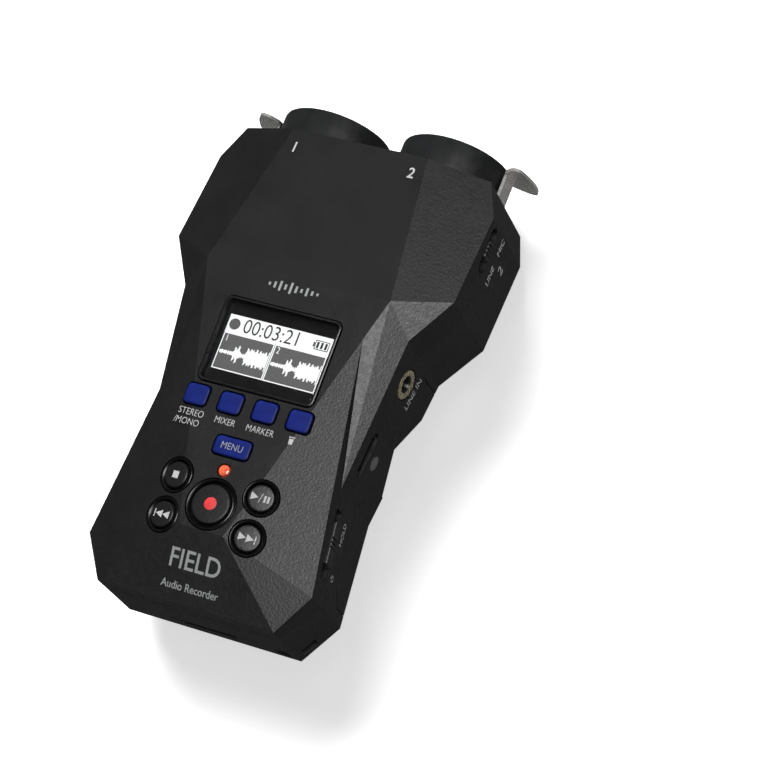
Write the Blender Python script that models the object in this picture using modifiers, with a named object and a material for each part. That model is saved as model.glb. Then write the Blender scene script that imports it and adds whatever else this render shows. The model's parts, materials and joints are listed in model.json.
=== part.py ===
"""Portable field recorder, modelled as an assembly of separate pieces.

Frame: +X to the right of the front, +Y towards the two combination jacks, +Z out of the front
(display) side.  The recorder lies on its back, whose flat centre is the plane z = 0, and the
origin is below the centre of its bounding box.  The dimensions below are in millimetres, and
MM turns them into metres when a mesh or a place is made.
"""
from math import cos, pi, radians, sin

import bmesh
import bpy
from mathutils import Matrix, Vector

MM = 0.001
GAP = 0.3                # clearance between two pieces
WALL = 1.8               # wall of both shells
EDGE_BEVEL = 0.55        # rounding of the housing's outer edges
FAR = 200.0              # size of the half-space cutters

# Corners of the right half of the housing.  The left half is their mirror image.
HEAD_TOP = (19.3, 58.2, 40.4)            # head panel, at the jack end
FOLD_UPPER = (25.9, 17.2, 43.7)          # fold between head panel and display panel
FOLD_LOWER = (6.2, -50.9, 39.8)          # fold between display panel and label panel
FOOT_FRONT = (24.9, -68.5, 32.3)         # bottom end, front
HEAD_CHAMFER = (35.2, 58.2, 34.2)
HEAD_SIDE_TOP = (39.4, 48.8, 34.0)
HEAD_SIDE_LOW = (39.4, 23.0, 37.7)
WAIST_TOP = (31.9, 10.4, 37.8)
SPLIT = (22.6, 6.0, 43.0)                # where the grip step starts on the fold line
WAIST_LOW = (27.4, -30.1, 32.4)
FOOT_SIDE = (31.5, -57.8, 33.6)
DISPLAY_INNER = (21.04, 17.2, 43.7)      # display panel over the lower block's side plane

# Corners of the back: the rim of the sloping side facets, and the flat centre they end in.
BACK_HEAD_CHAMFER = (35.2, 58.2, 3.2)
BACK_HEAD_TOP = (39.4, 48.8, 5.9)
BACK_HEAD_LOW = (39.4, 23.0, 8.5)
BACK_WAIST_TOP = (31.9, 10.4, 9.5)
BACK_WAIST_LOW = (27.4, -30.1, 8.0)
BACK_LOWER_INNER = (21.04, 17.2, 6.0)
BACK_FOOT_SIDE = (31.5, -57.8, 10.4)
BACK_FOOT = (24.9, -68.5, 10.0)
FLAT_HALF_WIDTH = 19.0
FLAT_TOP = 58.2
FLAT_LOW = -44.0
FLAT_END = (17.6, -55.0, 0.0)
SCOOP_RIM = (29.6, -10.9, 15.7)          # highest point of the finger scoop under each grip

# Seam between front and rear shell, as (y, z) corners of its line on the side walls.
SEAM = ((-FAR, 27.2), (-58.0, 27.0), (-22.0, 26.4), (10.4, 28.3), (58.2, 29.7), (FAR, 29.7))

# Battery cover: the part of the housing behind these planes.
COVER_TOP = 8.0
COVER_END = -54.2
COVER_HEIGHT = 18.8
COVER_CORNER = 4.0
COVER_CORNER_DROP = 2.5

# Display panel furniture: centres are (x, y) on the panel.
SCREEN_CENTRE = (0.0, -2.7)
SCREEN_SIZE = (33.3, 23.7)
SCREEN_CORNER = 2.2
LENS_SIZE = (30.9, 21.3)
LCD_SIZE = (29.2, 14.8)
FUNCTION_X = (-14.48, -4.83, 4.83, 14.48)
FUNCTION_Y = -18.2
FUNCTION_CAP = (6.3, 5.4)
MENU_CENTRE = (0.0, -29.0)
MENU_CAP = (10.0, 4.9)
LAMP_CENTRE = (0.0, -35.0)
LAMP_RADIUS = 1.55
RECORD_CENTRE = (0.0, -44.0)
RECORD_RADIUS = 5.05
RECORD_RING = 6.6
STOP_PLAY = (11.95, -39.1)
SKIP = (12.0, -49.4)
TRANSPORT_RADIUS = 3.35
TRANSPORT_RING = 4.55
KEYPAD_DEPTH = 6.4

# Jack end.
JACK_X = 17.5
JACK_Z = 18.4
JACK_RIM_Y = 68.5
COLLAR_RADIUS = 15.0
MOUTH_RADIUS = 12.2
CORE_RADIUS = 7.9
SHELL_GROOVE_RADIUS = 9.9
PHONE_RADIUS = 3.3
TAB_SHEET = 0.8
TAB_X = 33.2             # middle of the leg's sheet, just outside the collar
TAB_Z = 19.45            # middle of the leg
TAB_WIDTH = 6.1
TAB_BEND_Y = 66.2        # where the leg turns into the paddle
TAB_STOP_Y = 56.1        # end of the foot that holds the leg behind the end wall
TAB_END_Y = 53.4
TAB_FOOT_WIDTH = 10.6
TAB_LEAF = ((-0.4, 3.05), (1.1, 5.2), (2.2, 6.2), (3.6, 6.6), (4.9, 5.8), (6.4, 2.3), (7.2, -2.1),
            (6.7, -5.5), (5.6, -6.1), (3.3, -5.5), (-0.4, -3.05))  # paddle, (out, up) from the leg

# Side furniture: (y, z) on the side wall.
GAIN_PLACE = (41.6, 29.8)
GAIN_SLOT = (12.6, 4.0)
GAIN_KNOB = 5.0
POWER_PLACE = (-42.7, 29.9)
POWER_SLOT = (17.6, 4.2)
POWER_KNOB = 11.6
VOLUME_PLACE = (-37.2, 29.6)
MINI_JACK_PLACE = (2.8, 27.0)
MINI_JACK_RADIUS = 3.95
USB_PLACE = (-17.9, 28.2)
USB_TILT = 7.0

# Back, battery bay and boards.
SCREW_PLACES = ((-15.0, 52.0), (15.0, 52.0), (-15.0, 13.0), (15.0, 13.0))
SCREW_RADIUS = 2.1
TRIPOD_Y = 24.0
TRIPOD_RADIUS = 5.5
TRIPOD_BORE = 3.1
SPEAKER_Y = 41.7
SPEAKER_RADIUS = 8.5
SPEAKER_SLOTS = 5
SPEAKER_PITCH = 2.6
BAY_LOW = -51.0
BAY_HIGH = 7.0
TRAY_WIDTH = 33.2
TRAY_HEIGHT = 18.0
BAY_WIDTH = 30.6
CELL_X = 7.7
CELL_Z = 10.4
CELL_RADIUS = 7.25
CELL_HALF_LENGTH = 25.2
CONTACT_SIZE = (28.0, 0.5, 9.0)
BOARD_SHEET = 1.6
MAIN_BOARD = (39.0, 60.0, BOARD_SHEET)
MAIN_BOARD_CENTRE = (0.0, -28.0, 22.8)
JACK_BOARD = (60.0, BOARD_SHEET, 24.0)
JACK_BOARD_CENTRE = (0.0, 46.4, 20.0)
KEYPAD_SIZE = (32.0, 40.0)
KEYPAD_Y = -34.0


def mirrored(points):
    return [Vector((side * x, y, z)) for x, y, z in points for side in (1, -1)]


# ---------------------------------------------------------------- scene and materials

def clear_scene():
    for obj in list(bpy.data.objects):
        bpy.data.objects.remove(obj, do_unlink=True)


def new_collection(name):
    made = bpy.data.collections.new(name)
    bpy.context.scene.collection.children.link(made)
    return made


def material(name, colour, roughness, metallic=0.0):
    made = bpy.data.materials.new(name)
    made.use_nodes = True
    shader = made.node_tree.nodes["Principled BSDF"]
    shader.inputs["Base Color"].default_value = (*colour, 1.0)
    shader.inputs["Roughness"].default_value = roughness
    shader.inputs["Metallic"].default_value = metallic
    return made


# ---------------------------------------------------------------- local frames

def frame_from(point, normal, right):
    """Matrix whose Z is the outward normal and whose X is as near to right as it can be."""
    z = Vector(normal).normalized()
    y = z.cross(Vector(right)).normalized()
    x = y.cross(z)
    rows = [(x[i], y[i], z[i], point[i]) for i in range(3)]
    return Matrix((*rows, (0.0, 0.0, 0.0, 1.0)))


def plane_of(a, b, c):
    """A point of the plane through three corners, and its normal on the front side."""
    a, b, c = Vector(a), Vector(b), Vector(c)
    normal = (b - a).cross(c - a).normalized()
    return a, normal if normal.z > 0 else -normal


def frame_on_plane(plane, x, y):
    point, normal = plane
    z = point.z - (normal.x * (x - point.x) + normal.y * (y - point.y)) / normal.z
    return frame_from((x, y, z), normal, (1, 0, 0))


def mirror_x(corner):
    return (-corner[0], corner[1], corner[2])


DISPLAY = plane_of(FOLD_UPPER, mirror_x(FOLD_UPPER), FOLD_LOWER)
FACETS = {side: plane_of(*[(side * x, y, z) for x, y, z in (SPLIT, FOLD_LOWER, FOOT_SIDE)])
          for side in (1, -1)}


def display_frame(x, y):
    return frame_on_plane(DISPLAY, x, y)


def facet_frame(side, x, y):
    return frame_on_plane(FACETS[side], side * x, y)


def wall_frame(side, upper, lower, y, z, tilt=0.0):
    """Frame on the upright side wall between two corners: local X runs along it."""
    (x1, y1, _), (x2, y2, _) = upper, lower
    x = x1 + (x2 - x1) * (y - y1) / (y2 - y1)
    normal = Vector((y1 - y2, x2 - x1, 0.0)).normalized()
    frame = frame_from((side * x, y, z), (side * normal.x, normal.y, 0.0), (0, side, 0))
    return frame @ Matrix.Rotation(radians(side * tilt), 4, "Z")


# ---------------------------------------------------------------- solids

def add_object(name, bm, home, look, frame=None):
    bmesh.ops.recalc_face_normals(bm, faces=bm.faces)
    bmesh.ops.scale(bm, vec=(MM, MM, MM), verts=bm.verts)
    mesh = bpy.data.meshes.new(name)
    bm.to_mesh(mesh)
    bm.free()
    if look:
        mesh.materials.append(look)
    obj = bpy.data.objects.new(name, mesh)
    home.objects.link(obj)
    if frame is not None:
        placed = frame.copy()
        placed.translation *= MM
        obj.matrix_world = placed
    if home.name == "cutters":
        obj.hide_render = True
        obj.display_type = "WIRE"
    return obj


def box_bmesh(size, low_z=None, centre=(0.0, 0.0, 0.0)):
    """A box centred on centre; with low_z its underside is there instead."""
    bm = bmesh.new()
    bmesh.ops.create_cube(bm, size=1.0)
    bmesh.ops.scale(bm, vec=size, verts=bm.verts)
    lift = centre[2] if low_z is None else low_z + size[2] / 2
    bmesh.ops.translate(bm, vec=(centre[0], centre[1], lift), verts=bm.verts)
    return bm


def rounded_bmesh(width, length, low_z, high_z, corner, rim=0.0, segments=4):
    """An upright prism with rounded corners, and with rim also a rounded top edge."""
    bm = box_bmesh((width, length, high_z - low_z), low_z=low_z)
    upright = [e for e in bm.edges if abs(e.verts[0].co.z - e.verts[1].co.z) > 1e-6]
    bmesh.ops.bevel(bm, geom=upright, offset=corner, segments=segments, profile=0.5,
                    affect="EDGES")
    if rim:
        soften_top(bm, high_z, rim)
    return bm


def disc_bmesh(radius, low_z, high_z, rim=0.0, sides=32):
    bm = bmesh.new()
    turn = Matrix.Translation((0.0, 0.0, (low_z + high_z) / 2))
    bmesh.ops.create_cone(bm, cap_ends=True, segments=sides, radius1=radius, radius2=radius,
                          depth=high_z - low_z, matrix=turn)
    if rim:
        soften_top(bm, high_z, rim)
    return bm


def soften_top(bm, high_z, rim):
    top = [e for e in bm.edges if all(abs(v.co.z - high_z) < 1e-6 for v in e.verts)]
    bmesh.ops.bevel(bm, geom=top, offset=rim, segments=2, profile=0.5, affect="EDGES")


def turned(name, profile, home, look, frame, closed=False, steps=32):
    """A profile of (radius, height) corners, outer side running down, turned about local Z."""
    bm = bmesh.new()
    corners = [bm.verts.new((radius, 0.0, height)) for radius, height in profile]
    for first, second in zip(corners, corners[1:]):
        bm.edges.new((first, second))
    if closed:
        bm.edges.new((corners[-1], corners[0]))
    obj = add_object(name, bm, home, look, frame)
    screw = obj.modifiers.new("turn", "SCREW")
    screw.axis = "Z"
    screw.angle = 2 * pi
    screw.steps = steps
    screw.render_steps = steps
    screw.use_merge_vertices = True
    screw.merge_threshold = 0.000001
    return obj


def combine(target, other, operation):
    boolean = target.modifiers.new(f"{operation.lower()}_{other.name}", "BOOLEAN")
    boolean.operation = operation
    boolean.solver = "EXACT"
    boolean.object = other


def settle(obj):
    """Apply the modifiers, so that the result can be cleaned and used as a plain mesh."""
    evaluated = obj.evaluated_get(bpy.context.evaluated_depsgraph_get())
    mesh = bpy.data.meshes.new_from_object(evaluated)
    obj.modifiers.clear()
    obj.data = mesh


def merge_flat_faces(mesh, angle=0.4):
    bm = bmesh.new()
    bm.from_mesh(mesh)
    bmesh.ops.remove_doubles(bm, verts=bm.verts, dist=0.00001)
    bmesh.ops.dissolve_limit(bm, angle_limit=radians(angle), verts=bm.verts, edges=bm.edges)
    bm.to_mesh(mesh)
    bm.free()


# ---------------------------------------------------------------- the housing's blocks

HEAD_BLOCK = mirrored([
    HEAD_TOP, FOLD_UPPER, HEAD_CHAMFER, HEAD_SIDE_TOP, HEAD_SIDE_LOW, WAIST_TOP,
    BACK_HEAD_CHAMFER, BACK_HEAD_TOP, BACK_HEAD_LOW, BACK_WAIST_TOP,
    (FLAT_HALF_WIDTH, FLAT_TOP, 0.0), (FLAT_HALF_WIDTH, WAIST_TOP[1], 0.0)])
WAIST_BLOCK = mirrored([
    FOLD_UPPER, WAIST_TOP, WAIST_LOW, SPLIT, BACK_WAIST_TOP, BACK_WAIST_LOW,
    (FOLD_UPPER[0], FOLD_UPPER[1], BACK_WAIST_TOP[2]),
    (FLAT_HALF_WIDTH, FOLD_UPPER[1], 0.0), (FLAT_HALF_WIDTH, WAIST_LOW[1], 0.0)])
LOWER_BLOCK = mirrored([
    DISPLAY_INNER, SPLIT, FOLD_LOWER, FOOT_SIDE, FOOT_FRONT, BACK_LOWER_INNER, BACK_FOOT_SIDE,
    BACK_FOOT, (FLAT_HALF_WIDTH, FOLD_UPPER[1], 0.0), (FLAT_HALF_WIDTH, FLAT_LOW, 0.0), FLAT_END])


def scoop_points(side):
    """A wedge that lifts the back rim of the grip into a shallow finger scoop."""
    out = 8.0
    rim_x, rim_y, rim_z = SCOOP_RIM
    slope = rim_z / (rim_x - FLAT_HALF_WIDTH)
    points = [(FLAT_HALF_WIDTH, rim_y, 0.0), (rim_x + out, rim_y, rim_z + out * slope)]
    for corner in (BACK_WAIST_TOP, BACK_WAIST_LOW):
        rise = corner[2] / (corner[0] - FLAT_HALF_WIDTH)
        points.append((corner[0] + out, corner[1], corner[2] + out * rise))
        points.append((corner[0] + out, corner[1], -out))
    return [Vector((side * x, y, z)) for x, y, z in points]


def hull_bmesh(points):
    bm = bmesh.new()
    for point in points:
        bm.verts.new(point)
    made = bmesh.ops.convex_hull(bm, input=bm.verts)
    spare = {item for key in ("geom_interior", "geom_unused", "geom_holes") for item in made[key]
             if isinstance(item, bmesh.types.BMVert)}
    bmesh.ops.delete(bm, geom=list(spare), context="VERTS")
    bmesh.ops.recalc_face_normals(bm, faces=bm.faces)
    bmesh.ops.dissolve_limit(bm, angle_limit=radians(0.4), verts=bm.verts, edges=bm.edges)
    return bm


def offset_hull_bmesh(points, inset):
    """The convex hull of the points with every face moved inwards by inset."""
    outer = hull_bmesh(points)
    planes = [(face.calc_center_median(), face.normal.copy()) for face in outer.faces]
    outer.free()
    bm = bmesh.new()
    bmesh.ops.create_cube(bm, size=2 * FAR)
    for centre, normal in planes:
        everything = bm.verts[:] + bm.edges[:] + bm.faces[:]
        cut = bmesh.ops.bisect_plane(bm, geom=everything, plane_co=centre - normal * inset,
                                     plane_no=normal, clear_outer=True)
        rim = [item for item in cut["geom_cut"] if isinstance(item, bmesh.types.BMEdge)]
        if len(rim) > 2:
            bmesh.ops.contextual_create(bm, geom=rim)
    bmesh.ops.remove_doubles(bm, verts=bm.verts, dist=0.0001)
    return bm


def build_housing_solids(cutters):
    """The outer form of the housing, and the hollow inside it."""
    outer = add_object("outer_form", hull_bmesh(HEAD_BLOCK), cutters, None)
    hollow = add_object("hollow", offset_hull_bmesh(HEAD_BLOCK, WALL), cutters, None)
    for name, points in (("waist", WAIST_BLOCK), ("lower", LOWER_BLOCK)):
        block = add_object(f"outer_{name}", hull_bmesh(points), cutters, None)
        combine(outer, block, "UNION")
        inner = add_object(f"hollow_{name}", offset_hull_bmesh(points, WALL), cutters, None)
        combine(hollow, inner, "UNION")
    for side, word in ((1, "right"), (-1, "left")):
        scoop = add_object(f"scoop_{word}", hull_bmesh(scoop_points(side)), cutters, None)
        combine(outer, scoop, "DIFFERENCE")
        wider = add_object(f"scoop_wall_{word}", offset_hull_bmesh(scoop_points(side), -WALL),
                           cutters, None)
        combine(hollow, wider, "DIFFERENCE")
    for solid in (outer, hollow):
        settle(solid)
        merge_flat_faces(solid.data)
    bevel = outer.modifiers.new("edges", "BEVEL")
    bevel.width = EDGE_BEVEL * MM
    bevel.segments = 2
    bevel.limit_method = "ANGLE"
    bevel.angle_limit = radians(20.0)
    settle(outer)
    return outer, hollow


def side_profile(name, outline, cutters):
    """A block with the outline (y, z) seen from the side, much wider than the housing."""
    bm = bmesh.new()
    face = bm.faces.new([bm.verts.new((-FAR / 2, y, z)) for y, z in outline])
    pushed = bmesh.ops.extrude_face_region(bm, geom=[face])
    moved = [item for item in pushed["geom"] if isinstance(item, bmesh.types.BMVert)]
    bmesh.ops.translate(bm, vec=(FAR, 0.0, 0.0), verts=moved)
    return add_object(name, bm, cutters, None)


def cover_region(name, grow, cutters):
    """The block of space that the battery cover takes out of the housing."""
    top, end, height = COVER_TOP + grow, COVER_END - grow, COVER_HEIGHT + grow
    return side_profile(name, [(top, -FAR), (top, height), (end + COVER_CORNER, height),
                               (end, height - COVER_CORNER_DROP), (end, -FAR)], cutters)


def seam_region(name, end_z, gap, cutters):
    """All the space from the seam, moved by gap, to the height end_z."""
    line = [(y, z + gap) for y, z in SEAM]
    return side_profile(name, [(-FAR, end_z), *line, (FAR, end_z)], cutters)


def housing_piece(name, outer, hollow, keep, home, look):
    """One shell of the housing: the outer form less the hollow, kept inside one region."""
    obj = bpy.data.objects.new(name, outer.data.copy())
    obj.data.name = name
    obj.data.materials.clear()
    obj.data.materials.append(look)
    home.objects.link(obj)
    combine(obj, hollow, "DIFFERENCE")
    combine(obj, keep, "INTERSECT")
    return obj


# ---------------------------------------------------------------- front furniture

def opening(name, bm, frame, cutters):
    return add_object(f"cut_{name}", bm, cutters, None, frame)


def cap_with_flange(name, cap_bm, flange_bm, home, cutters, look, frame):
    """A key cap with the wider flange that keeps it behind the panel."""
    cap = add_object(name, cap_bm, home, look, frame)
    flange = add_object(f"flange_{name}", flange_bm, cutters, None, frame)
    combine(cap, flange, "UNION")
    return cap


def build_screen(home, cutters, looks, holes):
    frame = display_frame(*SCREEN_CENTRE)
    width, length = SCREEN_SIZE
    holes.append(opening("screen", rounded_bmesh(width, length, -6.0, 4.0, SCREEN_CORNER),
                         frame, cutters))
    bezel = add_object("screen_bezel", rounded_bmesh(
        width - 2 * GAP, length - 2 * GAP, -1.6, 0.45, SCREEN_CORNER - GAP, rim=0.3),
        home, looks["gloss_black"], frame)
    lens_width, lens_length = LENS_SIZE
    window = opening("bezel_window", rounded_bmesh(
        lens_width + 2 * GAP, lens_length + 2 * GAP, -6.0, 4.0, 1.5), frame, cutters)
    combine(bezel, window, "DIFFERENCE")
    add_object("screen_lens", rounded_bmesh(lens_width, lens_length, -1.2, 0.1, 1.3),
               home, looks["lens"], frame)
    lcd_width, lcd_length = LCD_SIZE
    add_object("lcd_panel", rounded_bmesh(lcd_width, lcd_length, -3.2, -1.7, 0.3, segments=2),
               home, looks["lcd"], frame)


def build_function_keys(home, cutters, looks, holes):
    width, length = FUNCTION_CAP
    for number, x in enumerate(FUNCTION_X, start=1):
        frame = display_frame(x, FUNCTION_Y)
        name = f"function_button_{number}"
        holes.append(opening(name, rounded_bmesh(width + 0.8, length + 0.8, -5.0, 4.0, 1.5),
                             frame, cutters))
        cap_with_flange(name, rounded_bmesh(width, length, -3.6, 0.35, 1.2, rim=0.35),
                        box_bmesh((width + 1.6, length + 1.6, 0.8), low_z=-3.6),
                        home, cutters, looks["blue"], frame)
    width, length = MENU_CAP
    frame = display_frame(*MENU_CENTRE)
    holes.append(opening("menu_button", rounded_bmesh(width + 0.8, length + 0.8, -5.0, 4.0, 1.5),
                         frame, cutters))
    cap_with_flange("menu_button", rounded_bmesh(width, length, -3.6, 0.35, 1.2, rim=0.35),
                    box_bmesh((width + 1.6, length + 1.6, 0.8), low_z=-3.6),
                    home, cutters, looks["blue"], frame)


def ring_profile(outer, inner):
    """A dished trim ring: a low rim outside, a hollow face falling to the cap."""
    return [(inner, -0.75), (outer - 0.5, -0.1), (outer, -0.15), (outer, -1.5), (inner, -1.5)]


def round_key(name, frame, cap_radius, ring_radius, home, cutters, look, ring_look, holes):
    holes.append(opening(name, disc_bmesh(ring_radius + GAP, -5.0, 4.0), frame, cutters))
    turned(f"{name}_ring", ring_profile(ring_radius, cap_radius + GAP), home, ring_look, frame,
           closed=True)
    cap_with_flange(f"{name}_button", disc_bmesh(cap_radius, -3.4, 0.35, rim=0.35),
                    disc_bmesh(cap_radius + 0.8, -3.4, -2.7), home, cutters, look, frame)


def build_transport(home, cutters, looks, holes):
    lamp = display_frame(*LAMP_CENTRE)
    holes.append(opening("record_lamp", disc_bmesh(LAMP_RADIUS + GAP, -5.0, 4.0, sides=24),
                         lamp, cutters))
    add_object("record_lamp", disc_bmesh(LAMP_RADIUS, -2.4, 0.15, rim=0.3, sides=24), home,
               looks["lamp"], lamp)
    round_key("record", display_frame(*RECORD_CENTRE), RECORD_RADIUS, RECORD_RING, home, cutters,
              looks["key"], looks["gloss_black"], holes)
    for name, side, place in (("stop", -1, STOP_PLAY), ("play", 1, STOP_PLAY),
                              ("rewind", -1, SKIP), ("forward", 1, SKIP)):
        round_key(name, facet_frame(side, *place), TRANSPORT_RADIUS, TRANSPORT_RING, home,
                  cutters, looks["key"], looks["gloss_black"], holes)


# ---------------------------------------------------------------- jack end

def build_jacks(home, cutters, looks, holes):
    for side, word in ((-1, "left"), (1, "right")):
        frame = frame_from((side * JACK_X, JACK_RIM_Y, JACK_Z), (0, 1, 0), (1, 0, 0))
        holes.append(opening(f"jack_{word}", disc_bmesh(COLLAR_RADIUS - 1.0 + GAP, -14.0, -8.0),
                             frame, cutters))
        turned(f"jack_collar_{word}", [
            (MOUTH_RADIUS, -0.6), (MOUTH_RADIUS + 0.6, 0.0), (COLLAR_RADIUS - 0.6, 0.0),
            (COLLAR_RADIUS, -0.6), (COLLAR_RADIUS, -10.0), (COLLAR_RADIUS - 1.0, -10.0),
            (COLLAR_RADIUS - 1.0, -13.0), (MOUTH_RADIUS, -13.0)],
            home, looks["gloss_black"], frame, closed=True, steps=48)
        core = turned(f"jack_core_{word}", [
            (0.0, -18.0), (PHONE_RADIUS, -18.0), (PHONE_RADIUS, -5.2), (PHONE_RADIUS + 0.7, -4.5),
            (CORE_RADIUS, -4.5), (CORE_RADIUS, -14.0), (SHELL_GROOVE_RADIUS, -14.0),
            (SHELL_GROOVE_RADIUS, -4.5), (MOUTH_RADIUS - GAP, -4.5), (MOUTH_RADIUS - GAP, -20.0),
            (0.0, -20.0)], home, looks["jack_core"], frame, steps=24)
        for angle in (-45.0, 90.0, 225.0):
            at = Matrix.Translation((5.6 * cos(radians(angle)), 5.6 * sin(radians(angle)), 0.0))
            pin = opening(f"pin_{word}_{int(angle)}", disc_bmesh(1.15, -13.0, 0.0, sides=10),
                          frame @ at, cutters)
            combine(core, pin, "DIFFERENCE")


def build_capsule_connector(home, cutters, looks, holes):
    frame = frame_from((0.0, HEAD_TOP[1], 37.0), (0, 1, 0), (1, 0, 0))
    holes.append(opening("capsule", rounded_bmesh(16.6, 3.0, -6.0, 4.0, 1.0), frame, cutters))
    add_object("capsule_connector", rounded_bmesh(16.0, 2.4, -5.0, -0.6, 0.7), home,
               looks["jack_core"], frame)


def smooth_outline(corners, steps):
    """A closed Catmull-Rom curve through the corners, with the given steps for each span."""
    count = len(corners)
    points = []
    for index in range(count):
        before, start, end, after = (Vector(corners[(index + k - 1) % count]) for k in range(4))
        for step in range(steps):
            t = step / steps
            points.append(0.5 * (2 * start + (end - before) * t
                                 + (2 * before - 5 * start + 4 * end - after) * t ** 2
                                 + (3 * start - before - 3 * end + after) * t ** 3))
    return points


def plate_bmesh(outline, low_z, high_z):
    """A flat plate with the given outline in local X and Y."""
    bm = bmesh.new()
    low = [bm.verts.new((x, y, low_z)) for x, y in outline]
    high = [bm.verts.new((x, y, high_z)) for x, y in outline]
    bm.faces.new(low)
    bm.faces.new(high)
    for index in range(len(outline)):
        after = (index + 1) % len(outline)
        bm.faces.new((low[index], low[after], high[after], high[index]))
    bmesh.ops.recalc_face_normals(bm, faces=bm.faces)
    return bm


def build_release_tabs(home, cutters, looks, holes):
    """Sheet levers beside the jacks: a leg out of the end wall, and a leaf-shaped paddle."""
    leg_length = TAB_BEND_Y + TAB_SHEET / 2 - TAB_END_Y
    for side, word in ((-1, "left"), (1, "right")):
        place = Matrix.Translation((side * TAB_X, TAB_END_Y, TAB_Z))
        leg = add_object(f"release_tab_{word}", box_bmesh(
            (TAB_SHEET, leg_length, TAB_WIDTH), centre=(0.0, leg_length / 2, 0.0)),
            home, looks["nickel"], place)
        leaf = [(side * out, up) for out, up in smooth_outline(TAB_LEAF, 3)]
        paddle = opening(f"paddle_{word}", plate_bmesh([(-x, y) for x, y in leaf], 0.0, TAB_SHEET),
                         frame_from((side * TAB_X, TAB_BEND_Y, TAB_Z), (0, 1, 0), (-1, 0, 0)),
                         cutters)
        combine(leg, paddle, "UNION")
        foot_length = TAB_STOP_Y - TAB_END_Y
        foot = opening(f"tab_foot_{word}", box_bmesh(
            (TAB_SHEET, foot_length, TAB_FOOT_WIDTH), centre=(0.0, foot_length / 2, 0.0)),
            place, cutters)
        combine(leg, foot, "UNION")
        slot = opening(f"tab_slot_{word}", box_bmesh(
            (TAB_SHEET + 2 * GAP, 2 * WALL + 1.0, TAB_WIDTH + 2 * GAP)),
            Matrix.Translation((side * TAB_X, HEAD_TOP[1] - WALL / 2, TAB_Z)), cutters)
        holes.append(slot)


# ---------------------------------------------------------------- side furniture

def slide_knob(name, frame, slot, corner, knob, proud, home, cutters, look, holes):
    """A ribbed knob in a slot, with a foot behind the wall that keeps it in."""
    length, width = slot
    holes.append(opening(name, rounded_bmesh(length, width, -4.0, 3.0, corner), frame, cutters))
    body = add_object(name, rounded_bmesh(knob, width - 2 * GAP, -3.2, proud, 0.7, rim=0.3), home,
                      look, frame)
    foot = opening(f"foot_{name}", box_bmesh((knob + 1.0, width + 1.6, 1.0), low_z=-3.2), frame,
                   cutters)
    combine(body, foot, "UNION")
    for offset in (-1.2, 0.0, 1.2):
        groove = opening(f"groove_{name}_{offset}", box_bmesh((0.45, width + 2.0, 0.7),
                                                              low_z=proud - 0.35),
                         frame @ Matrix.Translation((offset, 0.0, 0.0)), cutters)
        combine(body, groove, "DIFFERENCE")


def build_side_controls(home, cutters, looks, holes):
    for side, word in ((-1, "left"), (1, "right")):
        frame = wall_frame(side, HEAD_SIDE_TOP, HEAD_SIDE_LOW, *GAIN_PLACE)
        slide_knob(f"gain_switch_{word}", frame, GAIN_SLOT, 1.95, GAIN_KNOB, 0.5, home, cutters,
                   looks["key"], holes)
    frame = wall_frame(1, SPLIT, FOOT_SIDE, *POWER_PLACE)
    slide_knob("power_switch", frame, POWER_SLOT, 0.6, POWER_KNOB, 0.8, home, cutters,
               looks["key"], holes)

    frame = wall_frame(-1, SPLIT, FOOT_SIDE, *VOLUME_PLACE)
    holes.append(opening("volume_rocker", rounded_bmesh(8.0, 4.0, -4.0, 3.0, 1.2), frame, cutters))
    add_object("volume_rocker", rounded_bmesh(7.2, 3.2, -2.0, 1.0, 0.9, rim=0.4), home,
               looks["key"], frame)


def build_ports(home, cutters, looks, holes):
    for side, name in ((1, "line_in_jack"), (-1, "phones_jack")):
        frame = wall_frame(side, WAIST_TOP, WAIST_LOW, *MINI_JACK_PLACE)
        holes.append(opening(name, disc_bmesh(MINI_JACK_RADIUS + GAP, -4.0, 3.0, sides=32), frame,
                             cutters))
        turned(name, [(0.0, -9.0), (1.8, -9.0), (1.8, -0.6), (2.3, 0.0), (MINI_JACK_RADIUS, 0.0),
                      (MINI_JACK_RADIUS, -3.0), (3.2, -3.0), (3.2, -10.0), (0.0, -10.0)],
               home, looks["gold"], frame, steps=24)
    frame = wall_frame(1, WAIST_TOP, WAIST_LOW, *USB_PLACE, tilt=USB_TILT)
    holes.append(opening("usb_port", rounded_bmesh(11.8, 3.0, -4.0, 3.0, 1.4), frame, cutters))
    port = add_object("usb_port", rounded_bmesh(11.2, 2.4, -8.0, -0.4, 1.15), home,
                      looks["steel"], frame)
    mouth = opening("usb_mouth", rounded_bmesh(9.4, 1.7, -6.6, 1.0, 0.8), frame, cutters)
    combine(port, mouth, "DIFFERENCE")
    tongue = opening("usb_tongue", box_bmesh((6.8, 0.5, 6.4), low_z=-7.2), frame, cutters)
    combine(port, tongue, "UNION")


def build_card(home, cutters, looks, holes):
    frame = frame_from((0.0, FOOT_FRONT[1], 14.6), (0, -1, 0), (1, 0, 0))
    holes.append(opening("card_slot", rounded_bmesh(16.2, 2.2, -4.0, 3.0, 0.6, segments=2), frame,
                         cutters))
    add_object("memory_card", rounded_bmesh(11.0, 1.0, -14.6, -0.4, 0.2, segments=1), home,
               looks["gloss_black"], frame)


def build_strap_eye(cutters, holes):
    """The tunnel for a wrist strap: in through the bottom end, out through the corner."""
    corner = Vector((FOOT_FRONT[0] - FOOT_SIDE[0], FOOT_FRONT[1] - FOOT_SIDE[1], 0.0))
    normal = Vector((-corner.y, corner.x, 0.0)).normalized()
    below = opening("strap_below", box_bmesh((3.4, 8.0, 3.2), centre=(21.0, -66.2, 13.1)), None,
                    cutters)
    beside = opening("strap_beside", box_bmesh((4.4, 3.2, 9.0), low_z=-6.4),
                     frame_from((27.0, -65.1, 13.1), normal, (0, 1, 0)), cutters)
    holes.extend((below, beside))


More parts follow.
